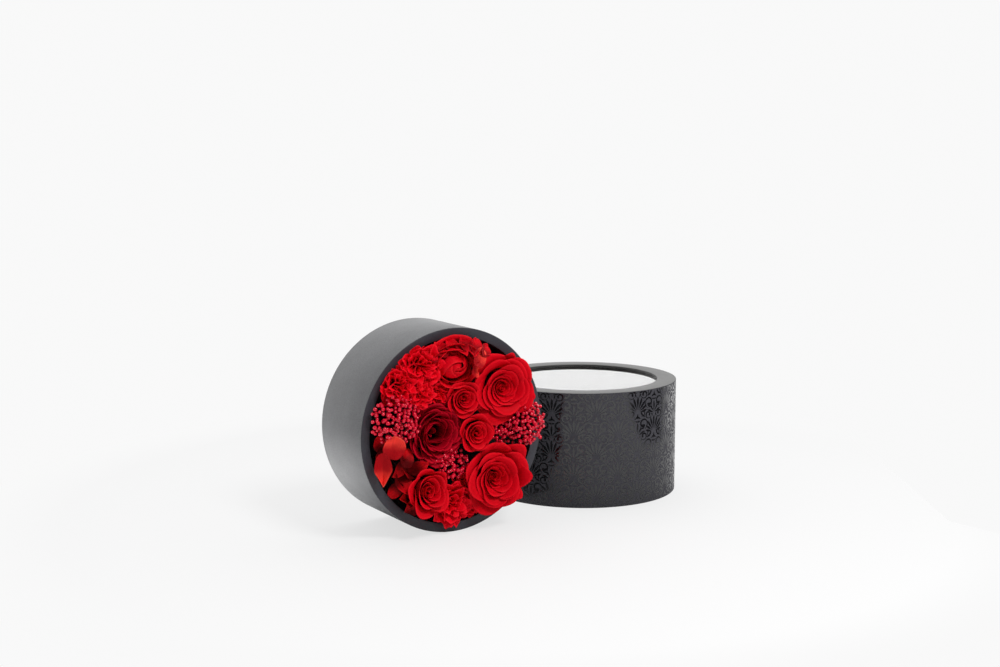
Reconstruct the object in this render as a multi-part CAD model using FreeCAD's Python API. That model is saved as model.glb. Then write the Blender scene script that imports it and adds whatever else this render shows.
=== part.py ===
import FreeCAD, Part
import functools
import math
import os

from FreeCAD import Matrix, Placement, Vector

# A round flower box, opened. The base stands on its side and shows its bed of preserved blooms.
# The window lid stands beside it with its open end down.
# Millimetres, +Z up, table at Z = 0, origin at the middle of the footprint.
# The base and its blooms are drawn upright in the base's own frame, opening up, and then laid on their side.

# Driving dimensions: papers and boards
PAPER = 0.25  # cover and lining papers
BASE_RADIUS = 75.0  # over the cover paper
BASE_HEIGHT = 64.0
BASE_WALL = 6.4  # wound board tube of the base
BOTTOM_BOARD = 2.5
LID_CLEARANCE = 0.6  # all round, between the base and the lid's lining
LID_HEIGHT = 90.0
LID_BOARD = 1.7  # board tube of the lid
TOP_BOARD = 1.8  # ring around the window
WINDOW_OPENING = 62.5  # radius of the opening seen from above
WINDOW_OVERLAP = 6.0  # how far the clear disc reaches under the ring
WINDOW_FILM = 0.5
WINDOW_TAPE = 0.15
TAPE_INSET = 1.5  # tape set back from the opening and from the film's edge
LINING_SETBACK = 3.0  # lid lining starts this far above the open edge

# Driving dimensions: the bed that holds the blooms
FOAM_HEIGHT = 30.0
FOAM_CLEARANCE = 0.3
GLUE_DAB_RADIUS = 9.0
GLUE_DAB_HEIGHT = 1.0
GLUE_DAB_CIRCLE = 38.0  # radius of the circle the dabs sit on
GLUE_DAB_COUNT = 4
WIRE_RADIUS = 0.6
WIRE_GRIP = 20.0  # length of wire pushed into the foam
WIRE_FIT = 0.05  # gap around a wire in the foam

# Driving dimensions: blooms
PETAL = 0.6  # petal thickness
GOLDEN_TURN = 137.5  # degrees from one petal, or berry, to the next
BERRY_RADIUS = 1.7
BERRY_PITCH = 3.8  # spacing of berries over a spray
SPRAY_TUCK = 125.0  # degrees from a spray's top to where its ball meets the stalks
RUFFLE_DEPTH = 1.1  # in and out of a carnation's ruffled edge
SEPAL_DISH = 9.0  # radius that a hydrangea sepal is cupped to
SEPAL_CLEARANCE = 0.1  # taken off a sepal's radius, so that neighbours stay apart
OUTER_SEPALS = 6  # round the middle sepal of a truss
LAYOUT_RADIUS = 68.1  # bed radius that the layout below is drawn for

# Where the two halves stand
BASE_TURN = 31.6  # degrees that the opening is turned to the right
STANDING_GAP = 6.8  # between the base's back edge and the lid
STANDING_BEARING = 216.0  # direction of the base from the lid, degrees

# Layout of the bed, seen from the front: x to the right, y up, widest radius, head length, top above the rim
ROSES = {
    "rose_upper_right": (39.7, 28.8, 25.0, 40.0, 17.0, 12),
    "rose_lower_right": (32.0, -37.5, 25.0, 40.0, 17.0, 12),
    "rose_lower_left": (-26.0, -39.0, 16.5, 32.0, 15.0, 9),
    "rose_top": (-2.5, 53.0, 18.5, 34.0, 16.0, 9),
    "mini_rose_upper": (3.8, 23.5, 13.2, 24.0, 11.0, 7),
    "mini_rose_middle": (13.3, -3.5, 13.2, 24.0, 15.0, 7),
    "garden_rose_dark": (-21.5, 2.0, 21.5, 34.0, 10.0, 13),
}
CARNATIONS = {
    "carnation_upper_left": (-38.0, 39.5, 19.0, 34.0, 13.0, 4),
    "carnation_bottom": (-3.0, -56.0, 13.5, 30.0, 8.5, 3),
}
BERRY_SPRAYS = {
    "berries_left": (-55.0, 12.0, 13.0, 34.0, 17.0),
    "berries_right": (56.5, -4.5, 13.0, 34.0, 18.0),
    "berries_right_inner": (35.8, -4.5, 7.6, 24.0, 12.0),
    "berries_bottom": (-3.5, -24.0, 11.3, 26.0, 8.0),
}
HYDRANGEAS = {
    "hydrangea_left": (-50.0, -19.5, 14.0, 26.0, 11.0),
    "hydrangea_lower_left": (-48.8, -41.3, 6.8, 22.0, 8.0),
}

# Sizes that follow from the driving dimensions
TUBE_OUTER = BASE_RADIUS - PAPER
TUBE_INNER = TUBE_OUTER - BASE_WALL
BED_RADIUS = TUBE_INNER - PAPER
FLOOR_TOP = PAPER + BOTTOM_BOARD
FOAM_BOTTOM = FLOOR_TOP + GLUE_DAB_HEIGHT
FOAM_TOP = FOAM_BOTTOM + FOAM_HEIGHT
LID_BORE = BASE_RADIUS + LID_CLEARANCE
LID_TUBE_INNER = LID_BORE + PAPER
LID_TUBE_OUTER = LID_TUBE_INNER + LID_BOARD
LID_RADIUS = LID_TUBE_OUTER + PAPER
RING_TOP = LID_HEIGHT - PAPER
RING_BOTTOM = RING_TOP - TOP_BOARD
FILM_TOP = RING_BOTTOM - WINDOW_TAPE
FILM_RADIUS = WINDOW_OPENING + WINDOW_OVERLAP
LAYOUT_SCALE = BED_RADIUS / LAYOUT_RADIUS

ORIGIN = Vector(0, 0, 0)
UP = Vector(0, 0, 1)


def tube(inner, outer, bottom, top):
    """A round tube standing on the plane Z = bottom."""
    height = top - bottom
    body = Part.makeCylinder(outer, height, Vector(0, 0, bottom))
    return body.cut(Part.makeCylinder(inner, height, Vector(0, 0, bottom)))


def disc(radius, bottom, top):
    """A round plate standing on the plane Z = bottom."""
    return Part.makeCylinder(radius, top - bottom, Vector(0, 0, bottom))


def spun(edges, angle=360):
    """The solid swept by a closed outline in the XZ plane, turned about Z."""
    return Part.Face(Part.Wire(edges)).revolve(ORIGIN, UP, angle)


def line(start, end):
    """A straight edge between two (radius, height) points."""
    return Part.LineSegment(Vector(start[0], 0, start[1]), Vector(end[0], 0, end[1])).toShape()


def arc(start, middle, end):
    """A round edge through three (radius, height) points."""
    points = [Vector(r, 0, z) for r, z in (start, middle, end)]
    return Part.Arc(*points).toShape()


def bend(start, middle, end):
    """A smooth free curve through three (radius, height) points."""
    curve = Part.BSplineCurve()
    curve.interpolate([Vector(r, 0, z) for r, z in (start, middle, end)])
    return curve.toShape()


def turned(shape, angle):
    """A copy of a shape, turned about Z."""
    copy = shape.copy()
    copy.rotate(ORIGIN, UP, angle)
    return copy


def joined(first, others):
    """One solid from pieces that grow out of each other."""
    return first.multiFuse(others).removeSplitter()


# Lid


def lid_pieces():
    """The lid's boards, papers and window, standing with the open end on the table."""
    top_paper = tube(WINDOW_OPENING, LID_TUBE_OUTER, RING_TOP, LID_HEIGHT)
    turn_in = tube(WINDOW_OPENING, WINDOW_OPENING + PAPER, RING_BOTTOM, RING_TOP)
    return {
        "lid_wall_board": tube(LID_TUBE_INNER, LID_TUBE_OUTER, 0, RING_BOTTOM),
        "lid_top_ring_board": tube(WINDOW_OPENING + PAPER, LID_TUBE_OUTER, RING_BOTTOM, RING_TOP),
        "lid_top_paper": top_paper.fuse(turn_in).removeSplitter(),
        "lid_wall_wrap": tube(LID_TUBE_OUTER, LID_RADIUS, 0, LID_HEIGHT),
        "lid_lining": tube(LID_BORE, LID_TUBE_INNER, LINING_SETBACK, RING_BOTTOM),
        "lid_window_tape": tube(
            WINDOW_OPENING + TAPE_INSET, FILM_RADIUS - TAPE_INSET, FILM_TOP, RING_BOTTOM
        ),
        "lid_window": disc(FILM_RADIUS, FILM_TOP - WINDOW_FILM, FILM_TOP),
    }


# Base


def glue_dabs():
    """Flat dabs of glue that hold the foam to the bottom board."""
    dabs = []
    for number in range(GLUE_DAB_COUNT):
        angle = 2 * math.pi * (number + 0.5) / GLUE_DAB_COUNT
        spot = Vector(GLUE_DAB_CIRCLE * math.cos(angle), GLUE_DAB_CIRCLE * math.sin(angle), FLOOR_TOP)
        dabs.append(Part.makeCylinder(GLUE_DAB_RADIUS, GLUE_DAB_HEIGHT, spot))
    return Part.makeCompound(dabs)


def base_pieces(wire_spots):
    """The base's boards, papers, glue and pierced foam, upright in the base's own frame."""
    rim = BASE_HEIGHT - PAPER
    foam = disc(BED_RADIUS - FOAM_CLEARANCE, FOAM_BOTTOM, FOAM_TOP)
    hole_bottom = FOAM_TOP - WIRE_GRIP - WIRE_FIT
    holes = []
    for x, y in wire_spots:
        spot = Vector(x, y, hole_bottom)
        holes.append(Part.makeCylinder(WIRE_RADIUS + WIRE_FIT, FOAM_TOP - hole_bottom, spot))
    return {
        "base_wall_board": tube(TUBE_INNER, TUBE_OUTER, PAPER, rim),
        "base_bottom_board": disc(TUBE_INNER, PAPER, FLOOR_TOP),
        "base_bottom_paper": disc(TUBE_OUTER, 0, PAPER),
        "base_wall_wrap": tube(TUBE_OUTER, BASE_RADIUS, 0, BASE_HEIGHT),
        "base_rim_paper": tube(BED_RADIUS, TUBE_OUTER, rim, BASE_HEIGHT),
        "base_lining": tube(BED_RADIUS, TUBE_INNER, FLOOR_TOP, rim),
        "foam_glue_dabs": glue_dabs(),
        "floral_foam": foam.cut(Part.makeCompound(holes)),
    }


# Blooms, each drawn with the foot of its head at the origin


def petal(foot, belly, lip, spread):
    """One curved petal, centred on the X axis, with a rounded top."""
    outer = [(r + PETAL, z) for r, z in (foot, belly, lip)]
    outline = [bend(foot, belly, lip), line(lip, outer[2]), bend(*reversed(outer)), line(outer[0], foot)]
    strip = turned(spun(outline, spread), -spread / 2)
    reach = lip[0] + PETAL
    half = reach * math.sin(math.radians(spread / 2))
    rounding = 0.28 * (lip[1] - foot[1])
    shoulder = lip[1] - rounding
    corners = [
        Vector(0, -half, foot[1]),
        Vector(0, half, foot[1]),
        Vector(0, half, shoulder),
        Vector(0, 0, lip[1]),
        Vector(0, -half, shoulder),
    ]
    edges = [
        Part.LineSegment(corners[0], corners[1]).toShape(),
        Part.LineSegment(corners[1], corners[2]).toShape(),
        Part.Arc(corners[2], corners[3], corners[4]).toShape(),
        Part.LineSegment(corners[4], corners[0]).toShape(),
    ]
    mask = Part.Face(Part.Wire(edges)).extrude(Vector(reach, 0, 0))
    return strip.common(mask)


@functools.cache
def rose(radius, height, petals):
    """A rose head: a cup, a bud in the middle, and petals that open outwards round it."""
    cup_foot = (0.3 * radius, 0)
    cup_belly = (0.55 * radius, 0.12 * height)
    cup_rim = (0.66 * radius, 0.3 * height)
    cup_top = (0, cup_rim[1])
    cup = spun(
        [
            line((0, 0), cup_foot),
            bend(cup_foot, cup_belly, cup_rim),
            line(cup_rim, cup_top),
            line(cup_top, (0, 0)),
        ]
    )
    bud = 0.14 * radius
    foot_z = 0.2 * height
    heart_foot = (0.8 * bud, foot_z)
    heart_waist = (0.75 * bud, 0.7 * height)
    heart_top = (0, 0.96 * height)
    heart = spun(
        [
            line((0, foot_z), heart_foot),
            bend(heart_foot, heart_waist, heart_top),
            line(heart_top, (0, foot_z)),
        ]
    )
    last_foot = 0.6 * radius
    first_lip = bud + 0.02 * radius
    last_lip = radius - PETAL
    droop = 0.22 * height
    blades = []
    for number in range(petals):
        share = (number + 1) / petals
        foot = (bud + (last_foot - bud) * share, foot_z)
        lip = (first_lip + (last_lip - first_lip) * share**1.2, height - droop * share**2)
        belly = (foot[0] + 0.28 * (lip[0] - foot[0]), foot_z + 0.6 * (lip[1] - foot_z))
        spread = 150 - 40 * share
        blades.append(turned(petal(foot, belly, lip, spread), GOLDEN_TURN * number))
    return joined(cup, [heart] + blades)


def ruffle(radius, lobes, bottom, top):
    """A closed ruffled band of petal edges."""
    rims = []
    for outer in (radius, radius - PETAL):
        points = []
        for step in range(lobes * 4):
            angle = math.pi / 2 * step / lobes
            reach = outer - RUFFLE_DEPTH * (1 - math.sin(lobes * angle))
            points.append(Vector(reach * math.cos(angle), reach * math.sin(angle), bottom))
        curve = Part.BSplineCurve()
        curve.interpolate(points, PeriodicFlag=True)
        rims.append(Part.Wire(curve.toShape()))
    return Part.Face(rims, "Part::FaceMakerBullseye").extrude(Vector(0, 0, top - bottom))


def carnation(radius, height, rings):
    """A carnation head: a slim calyx that flares out to a plate, with rings of ruffled petals on it."""
    neck = (0.28 * radius, 0.42 * height)
    foot = (0.8 * neck[0], 0)
    flare = (0.48 * radius, 0.63 * height)
    plate_bottom = 0.75 * height
    plate_top = plate_bottom + PETAL
    body = spun(
        [
            line((0, 0), foot),
            line(foot, neck),
            bend(neck, flare, (radius, plate_bottom)),
            line((radius, plate_bottom), (radius, plate_top)),
            line((radius, plate_top), (0, plate_top)),
            line((0, plate_top), (0, 0)),
        ]
    )
    droop = 0.12 * height
    bands = []
    for number in range(rings):
        share = (number + 1) / rings
        lobes = 4 + 3 * number
        bands.append(ruffle((radius - PETAL) * share, lobes, plate_top, height - droop * share**2))
    return joined(body, bands)


def berry_spray(radius, height):
    """A spray: a bundle of stalks that widens to a ball, covered with berries down to its waist."""
    ball = radius - BERRY_RADIUS
    crown = height - BERRY_RADIUS
    middle = crown - ball
    tuck = math.radians(SPRAY_TUCK)
    shoulder = (ball * math.sin(tuck), middle + ball * math.cos(tuck))
    stalks = spun(
        [
            line((0, 0), (2 * WIRE_RADIUS, 0)),
            line((2 * WIRE_RADIUS, 0), shoulder),
            arc(shoulder, (ball * math.sin(tuck / 2), middle + ball * math.cos(tuck / 2)), (0, crown)),
            line((0, crown), (0, 0)),
        ]
    )
    berries = []
    rows = max(1, round(math.pi / 2 * ball / BERRY_PITCH))
    for row in range(rows + 1):
        tilt = math.pi / 2 * row / rows
        ring = ball * math.sin(tilt)
        count = max(1, int(2 * math.pi * ring / BERRY_PITCH))
        for number in range(count):
            angle = 2 * math.pi * number / count + math.radians(GOLDEN_TURN * row)
            way = Vector(math.sin(tilt) * math.cos(angle), math.sin(tilt) * math.sin(angle), math.cos(tilt))
            berries.append(Part.makeSphere(BERRY_RADIUS, way * ball + UP * middle, way))
    return joined(stalks, berries)


def sepal(radius):
    """One cupped round sepal, its middle at the origin."""
    middle = Vector(0, 0, SEPAL_DISH)
    shell = Part.makeSphere(SEPAL_DISH, middle).cut(Part.makeSphere(SEPAL_DISH - PETAL, middle))
    return shell.common(Part.makeCylinder(radius, SEPAL_DISH))


def hydrangea(radius, height):
    """A small hydrangea truss: a fan of stalks, each with a cupped sepal, one of them in the middle."""
    blade = radius / 3 - SEPAL_CLEARANCE
    ring = radius - blade
    stem_top = 0.5 * height
    stem_radius = 0.4 * ring
    stalk = WIRE_RADIUS
    crown = height - 0.35 * blade - PETAL
    pieces = []
    for number in range(OUTER_SEPALS + 1):
        reach = ring if number else 0
        drop = 0.5 * blade if number else 0
        angle = 2 * math.pi * number / OUTER_SEPALS
        way_out = Vector(math.cos(angle), math.sin(angle), 0)
        spot = way_out * reach + UP * (crown - drop)
        start = way_out * (stem_radius if number else 0) + UP * (stem_top - stalk)
        way = spot - start
        pieces.append(Part.makeCylinder(stalk, way.Length + PETAL / 2, start, way))
        leaf = sepal(blade)
        leaf.translate(spot)
        pieces.append(leaf)
    stem = spun(
        [
            line((0, 0), (2 * stalk, 0)),
            line((2 * stalk, 0), (stem_radius + 2 * stalk, stem_top)),
            line((stem_radius + 2 * stalk, stem_top), (0, stem_top)),
            line((0, stem_top), (0, 0)),
        ]
    )
    return joined(stem, pieces)


def blooms():
    """Each bloom's head as (head at its own foot, x, y, height of the foot in the base)."""
    made = {}
    tables = ((ROSES, rose), (CARNATIONS, carnation), (BERRY_SPRAYS, berry_spray), (HYDRANGEAS, hydrangea))
    for table, maker in tables:
        for name, (x, y, radius, height, rise, *counts) in table.items():
            head = maker(radius * LAYOUT_SCALE, height, *counts)
            made[name] = (head, x * LAYOUT_SCALE, y * LAYOUT_SCALE, BASE_HEIGHT + rise - height)
    return made


def bed_pieces(heads):
    """Blooms in their places, and the wire that pins each one into the foam."""
    pieces = {}
    for name, (head, x, y, foot) in heads.items():
        placed = head.copy()
        placed.translate(Vector(x, y, foot))
        pieces[name] = placed
        wire_bottom = FOAM_TOP - WIRE_GRIP
        pieces[name + "_wire"] = Part.makeCylinder(WIRE_RADIUS, foot - wire_bottom, Vector(x, y, wire_bottom))
    return pieces


# Standing the two halves on the table


def base_place():
    """Lays the base on its side, its opening to the front right and its own top side up."""
    turn = math.radians(BASE_TURN)
    bearing = math.radians(STANDING_BEARING)
    right = Vector(math.cos(turn), math.sin(turn), 0)
    front = Vector(math.sin(turn), -math.cos(turn), 0)
    edge = Vector(math.cos(bearing), math.sin(bearing), 0) * (LID_RADIUS + STANDING_GAP)
    middle = edge - right * BASE_RADIUS + UP * BASE_RADIUS
    return Placement(
        Matrix(
            right.x, UP.x, front.x, middle.x,
            right.y, UP.y, front.y, middle.y,
            right.z, UP.z, front.z, middle.z,
            0, 0, 0, 1,
        )
    )


def main():
    heads = blooms()
    laid = base_pieces([(x, y) for _, x, y, _ in heads.values()])
    laid.update(bed_pieces(heads))
    place = base_place()
    pieces = lid_pieces()
    for name, shape in laid.items():
        shape.Placement = place.multiply(shape.Placement)
        pieces[name] = shape
    whole = Part.makeCompound(list(pieces.values())).optimalBoundingBox(False, False)
    shift = Vector(-whole.Center.x, -whole.Center.y, 0)
    os.makedirs("parts", exist_ok=True)
    for name, shape in pieces.items():
        shape.translate(shift)
        shape.exportStep(f"parts/{name}.step")
        solids = len(shape.Solids)
        print(f"{name}: {solids} solid(s), {shape.Volume:.1f} mm3, valid {shape.isValid()}")
    print(f"lid axis at {shift.x:.3f}, {shift.y:.3f}; base centre at {(place.Base + shift)}")
    print(f"footprint {whole.XLength:.1f} x {whole.YLength:.1f}, height {whole.ZLength:.1f}")


main()
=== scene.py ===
# %% [markdown]
# # An opened flower box
# A round gift box stands on its side and shows a packed bed of preserved red blooms. Its window lid stands
# beside it. The boards, the foam and the window come from the CAD model and stay as they are. Papers are
# rebuilt with soft edges, the lid's varnish pattern is added, and every bloom is modelled petal by petal.
#
# The note before each step says what a piece is, how it could be made, and why it is made this way.

# %% Load the CAD model
import math
import random

import bmesh
import bpy
from mathutils import Matrix, Vector


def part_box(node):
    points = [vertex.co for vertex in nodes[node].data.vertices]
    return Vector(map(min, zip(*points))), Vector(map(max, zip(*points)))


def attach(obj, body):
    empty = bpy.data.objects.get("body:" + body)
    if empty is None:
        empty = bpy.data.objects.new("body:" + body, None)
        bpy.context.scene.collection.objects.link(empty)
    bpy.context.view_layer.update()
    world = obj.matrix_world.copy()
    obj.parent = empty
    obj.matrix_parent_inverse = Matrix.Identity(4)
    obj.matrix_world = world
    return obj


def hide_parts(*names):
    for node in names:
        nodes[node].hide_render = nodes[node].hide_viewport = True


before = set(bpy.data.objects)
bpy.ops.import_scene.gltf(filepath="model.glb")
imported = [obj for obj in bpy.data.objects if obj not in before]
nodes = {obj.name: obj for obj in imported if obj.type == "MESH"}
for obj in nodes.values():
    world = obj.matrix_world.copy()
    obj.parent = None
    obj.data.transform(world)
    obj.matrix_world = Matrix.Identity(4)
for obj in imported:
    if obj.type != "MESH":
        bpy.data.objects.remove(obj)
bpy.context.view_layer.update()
print("CAD nodes:", len(nodes))

# %% [markdown]
# ## Two working frames
# Blooms are easiest to think of in a bed that lies flat: x to the right, y up the picture, z out of the box.
# `BED` turns such a place into the scene. The CAD boxes give where the base and the lid stand.

# %% Find the bed and the lid
MM = 0.001
BASE_TURN = math.radians(31.6)  # how far the opening is turned to the right
RIM = 64.0  # height of the base, where the rim lies in the bed's frame
PAPER = 0.25  # thickness of the cover papers

low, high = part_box("base_bottom_paper")
right = Vector((math.cos(BASE_TURN), math.sin(BASE_TURN), 0))
front = Vector((math.sin(BASE_TURN), -math.cos(BASE_TURN), 0))
back = (low + high) / 2 - front * PAPER / 2 * MM
BED = Matrix((
    (right.x, 0, front.x, back.x),
    (right.y, 0, front.y, back.y),
    (0, 1, 0, back.z),
    (0, 0, 0, 1),
))
low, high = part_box("lid_wall_wrap")
LID = Matrix.Translation(((low.x + high.x) / 2, (low.y + high.y) / 2, 0))
LID_RADIUS = (high.x - low.x) / 2 / MM
LID_HEIGHT = high.z / MM
print("lid radius and height, mm:", round(LID_RADIUS, 2), round(LID_HEIGHT, 2))

# %% [markdown]
# ## Small helpers
# `alone` leaves one object selected and active, as a click in the viewport does: most operators work on that.
# `settle` moves a finished mesh to its place, so that the object itself stays at the origin.

# %% Helpers
def alone(*objects):
    """Selects only these objects and makes the first one active."""
    bpy.ops.object.select_all(action="DESELECT")
    for one in objects:
        one.select_set(True)
    bpy.context.view_layer.objects.active = objects[0]


def modified(obj, kind, **settings):
    """Adds a modifier with these settings and applies it."""
    modifier = obj.modifiers.new(kind.title(), kind)
    for key, value in settings.items():
        setattr(modifier, key, value)
    alone(obj)
    bpy.ops.object.modifier_apply(modifier=modifier.name)


def joined(name, objects):
    """One object out of several."""
    alone(*objects)
    if len(objects) > 1:
        bpy.ops.object.join()
    whole = bpy.context.object
    whole.name = whole.data.name = name
    return whole


def settle(obj, matrix, material, body, slot, *replaced):
    """Moves the mesh to its place, gives it a material unless it has one, and ties it to the CAD model."""
    obj.data.transform(matrix)
    if material:
        obj.data.materials.clear()
        obj.data.materials.append(material)
    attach(obj, body)
    if replaced:
        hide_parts(*replaced)
    print(obj.name, len(obj.data.polygons), "faces")


def smooth(obj, angle=40):
    """Smooth shading, with edges sharper than the angle kept crisp."""
    alone(obj)
    bpy.ops.object.shade_smooth_by_angle(angle=math.radians(angle))


# %% [markdown]
# ## Materials
# Everything is procedural. Two node groups hold what materials share: `Paper grain` gives a fine fleck and
# its bumps, and `Petal tint and painted light` paints shade at a petal's foot and a highlight at its lip
# along the UV map, with faint veins.
# Groups hand out colours and normals only. The shader itself stays in each material.

# %% Node helpers
def new_material(name):
    """A material with a Principled shader, and its node tree."""
    material = bpy.data.materials.new(name)
    material.use_nodes = True
    tree = material.node_tree
    return material, tree, tree.nodes["Principled BSDF"]


def feed(tree, socket, value):
    """Links an input to a socket, or sets it to a plain value."""
    if isinstance(value, bpy.types.NodeSocket):
        tree.links.new(value, socket)
    else:
        socket.default_value = value


def node(tree, kind, **inputs):
    """A node with some of its inputs fed by name."""
    made = tree.nodes.new(kind)
    for key, value in inputs.items():
        feed(tree, made.inputs[key.replace("_", " ")], value)
    return made


def arithmetic(tree, operation, first, second):
    """A Math node."""
    made = tree.nodes.new("ShaderNodeMath")
    made.operation = operation
    for socket, value in zip(made.inputs, (first, second)):
        feed(tree, socket, value)
    return made.outputs[0]


def blend(tree, factor, first, second):
    """A colour Mix node: its factor, first and second colour are inputs 0, 6 and 7."""
    made = tree.nodes.new("ShaderNodeMix")
    made.data_type = "RGBA"
    for index, value in zip((0, 6, 7), (factor, first, second)):
        feed(tree, made.inputs[index], value)
    return made.outputs[2]


def ramp(tree, value, start, end):
    """A smooth step from 0 to 1 between two values."""
    made = node(tree, "ShaderNodeMapRange", Value=value, From_Min=start, From_Max=end)
    made.interpolation_type = "SMOOTHSTEP"
    return made.outputs[0]


def new_group(name, inputs, outputs):
    """An empty node group with the sockets named, and its input and output nodes."""
    group = bpy.data.node_groups.new(name, "ShaderNodeTree")
    for title, kind in inputs:
        group.interface.new_socket(title, in_out="INPUT", socket_type=kind)
    for title, kind in outputs:
        group.interface.new_socket(title, in_out="OUTPUT", socket_type=kind)
    return group, group.nodes.new("NodeGroupInput"), group.nodes.new("NodeGroupOutput")


def use_group(tree, group, **inputs):
    """A group node in a material."""
    made = tree.nodes.new("ShaderNodeGroup")
    made.node_tree = group
    for key, value in inputs.items():
        feed(tree, made.inputs[key.replace("_", " ")], value)
    return made


COLOUR, VALUE, VECTOR = "NodeSocketColor", "NodeSocketFloat", "NodeSocketVector"

# %% Paper grain
paper_grain, given, result = new_group(
    "Paper grain",
    [("Dark", COLOUR), ("Light", COLOUR), ("Bumps", VALUE)],
    [("Colour", COLOUR), ("Normal", VECTOR)],
)
place = node(paper_grain, "ShaderNodeTexCoord").outputs["Object"]
fleck = node(paper_grain, "ShaderNodeTexNoise", Vector=place, Scale=1700.0, Detail=4.0, Roughness=0.6)
cloud = node(paper_grain, "ShaderNodeTexNoise", Vector=place, Scale=60.0, Detail=2.0)
fine = arithmetic(paper_grain, "MULTIPLY", fleck.outputs[0], 0.85)
broad = arithmetic(paper_grain, "MULTIPLY", cloud.outputs[0], 0.15)
shade = ramp(paper_grain, arithmetic(paper_grain, "ADD", fine, broad), 0.26, 0.74)
colour = blend(paper_grain, shade, given.outputs["Dark"], given.outputs["Light"])
paper_grain.links.new(colour, result.inputs["Colour"])
bump = node(
    paper_grain, "ShaderNodeBump", Strength=given.outputs["Bumps"], Distance=0.0003, Height=fleck.outputs[0]
)
paper_grain.links.new(bump.outputs[0], result.inputs["Normal"])

# %% Petal tint, with painted shade at the foot and a painted highlight at the lip
petal_tint_and_light, given, result = new_group(
    "Petal tint and painted light",
    [("Foot", COLOUR), ("Middle", COLOUR), ("Lip", COLOUR), ("Veins", VALUE)],
    [("Colour", COLOUR), ("Normal", VECTOR)],
)
uv = node(petal_tint_and_light, "ShaderNodeTexCoord").outputs["UV"]
petal_place = node(petal_tint_and_light, "ShaderNodeSeparateXYZ", Vector=uv)
upward = petal_place.outputs["Y"]
aside = arithmetic(petal_tint_and_light, "SUBTRACT", petal_place.outputs["X"], 0.5)
fan = arithmetic(petal_tint_and_light, "DIVIDE", aside, arithmetic(petal_tint_and_light, "ADD", upward, 0.35))
spoke = node(petal_tint_and_light, "ShaderNodeCombineXYZ", X=arithmetic(petal_tint_and_light, "MULTIPLY", fan, 20.0), Y=upward)
vein = node(petal_tint_and_light, "ShaderNodeTexNoise", Vector=spoke.outputs[0], Scale=1.0, Detail=3.0)
place = node(petal_tint_and_light, "ShaderNodeTexCoord").outputs["Object"]
cloud = node(petal_tint_and_light, "ShaderNodeTexNoise", Vector=place, Scale=160.0, Detail=2.0)
wander = arithmetic(petal_tint_and_light, "MULTIPLY", arithmetic(petal_tint_and_light, "SUBTRACT", cloud.outputs[0], 0.5), 0.35)
height = arithmetic(petal_tint_and_light, "ADD", upward, wander)
# Painted shade: low on the petal, deep among the other petals, the colour darkens to the foot colour
opened = ramp(petal_tint_and_light, height, 0.34, 0.84)
colour = blend(petal_tint_and_light, opened, given.outputs["Foot"], given.outputs["Middle"])
# Painted highlight: the last strip at the lip turns to the lighter lip colour
edge = ramp(petal_tint_and_light, upward, 0.93, 1.0)
colour = blend(petal_tint_and_light, edge, colour, given.outputs["Lip"])
ridge = ramp(petal_tint_and_light, vein.outputs[0], 0.5, 0.72)
streak = arithmetic(petal_tint_and_light, "MULTIPLY", ridge, given.outputs["Veins"])
colour = blend(petal_tint_and_light, streak, colour, given.outputs["Foot"])
petal_tint_and_light.links.new(colour, result.inputs["Colour"])
bump = node(
    petal_tint_and_light, "ShaderNodeBump", Strength=given.outputs["Veins"], Distance=0.0006, Height=vein.outputs[0]
)
petal_tint_and_light.links.new(bump.outputs[0], result.inputs["Normal"])
print("node groups:", [group.name for group in bpy.data.node_groups])


# %% Papers, petals and plain finishes
def paper_material(name, dark, light, roughness, bumps=0.25, specular=0.5):
    """Dyed paper with a fine grain."""
    material, tree, shader = new_material(name)
    grain = use_group(tree, paper_grain, Dark=(*dark, 1), Light=(*light, 1), Bumps=bumps)
    tree.links.new(grain.outputs["Colour"], shader.inputs["Base Color"])
    tree.links.new(grain.outputs["Normal"], shader.inputs["Normal"])
    shader.inputs["Roughness"].default_value = roughness
    shader.inputs["Specular IOR Level"].default_value = specular
    return material


def petal_material(name, foot, middle, lip, veins=0.26):
    """Preserved petal, soft and faintly veined: the foot colour is painted shade deep in the flower, the lip
    colour a painted highlight along its edge.
    """
    material, tree, shader = new_material(name)
    tint = use_group(tree, petal_tint_and_light, Foot=(*foot, 1), Middle=(*middle, 1), Lip=(*lip, 1), Veins=veins)
    tree.links.new(tint.outputs["Colour"], shader.inputs["Base Color"])
    tree.links.new(tint.outputs["Normal"], shader.inputs["Normal"])
    shader.inputs["Roughness"].default_value = 0.55
    shader.inputs["Specular IOR Level"].default_value = 0.05
    return material


def plain_material(name, colour, roughness, **more):
    """One colour, with any other shader inputs by name."""
    material, _, shader = new_material(name)
    shader.inputs["Base Color"].default_value = (*colour, 1)
    shader.inputs["Roughness"].default_value = roughness
    for key, value in more.items():
        shader.inputs[key.replace("_", " ")].default_value = value
    return material


charcoal = paper_material("Charcoal paper", (0.050, 0.051, 0.055), (0.145, 0.147, 0.154), 0.46)
rim_paper = paper_material("Rim paper", (0.027, 0.027, 0.036), (0.044, 0.045, 0.057), 0.5, 0.12)
lid_paper = paper_material("Lid damask paper", (0.041, 0.040, 0.048), (0.070, 0.068, 0.080), 0.75, 0.15, 0.25)
top_paper = paper_material("Lid top paper", (0.050, 0.049, 0.048), (0.066, 0.065, 0.063), 0.44, 0.1)
lining = paper_material("Black lining", (0.008, 0.008, 0.009), (0.02, 0.02, 0.022), 0.8)
board = paper_material("Greyboard", (0.25, 0.24, 0.22), (0.36, 0.34, 0.31), 0.9)
varnish = plain_material("Damask varnish", (0.004, 0.004, 0.005), 0.10, Specular_IOR_Level=0.74)
film = plain_material("Clear film", (1, 1, 1), 0.02, Transmission_Weight=1.0, IOR=1.58)
tape = plain_material("Clear tape", (0.9, 0.9, 0.88), 0.3, Transmission_Weight=0.6)
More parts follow.
